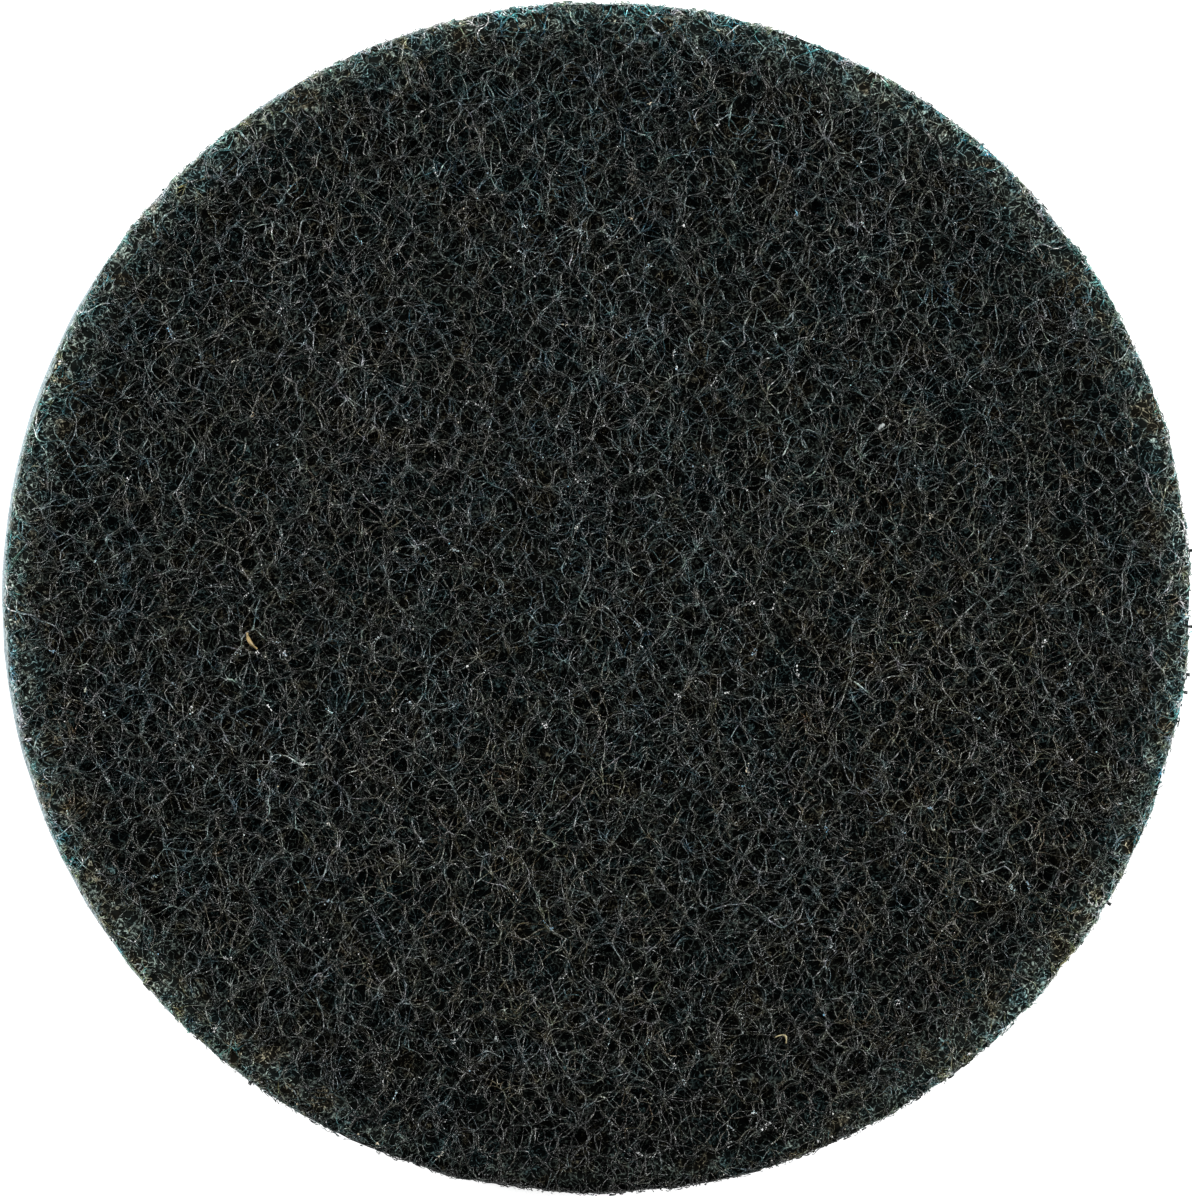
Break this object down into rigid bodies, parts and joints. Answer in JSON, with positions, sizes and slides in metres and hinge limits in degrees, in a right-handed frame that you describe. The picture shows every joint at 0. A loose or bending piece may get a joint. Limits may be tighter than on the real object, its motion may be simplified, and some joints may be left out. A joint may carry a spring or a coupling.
{
  "type": "surface conditioning disc",
  "caption": "Round non-woven abrasive pad of tangled grit-coated fibre on a woven scrim, with a flat loop fleece back for a hook-faced backing pad.",
  "frame": {"origin": "centre of the fleece's flat back, which is the face the disc rests on", "axes": "+Z along the disc's axis, out of its abrasive face; X and Y across the disc"},
  "size_m": [0.125, 0.125, 0.0064],
  "materials": {
    "abrasive_web": "dark charcoal tangle of crimped nylon fibre, coated with resin and fine grit",
    "woven_scrim": "plain woven nylon cloth, soaked with binder",
    "loop_fleece": "pale blue-grey brushed loop fleece, matt"
  },
  "bodies": {
    "root": {"abrasive_web": "abrasive_web", "woven_scrim": "woven_scrim", "loop_fleece": "loop_fleece"}
  },
  "joints": []
}
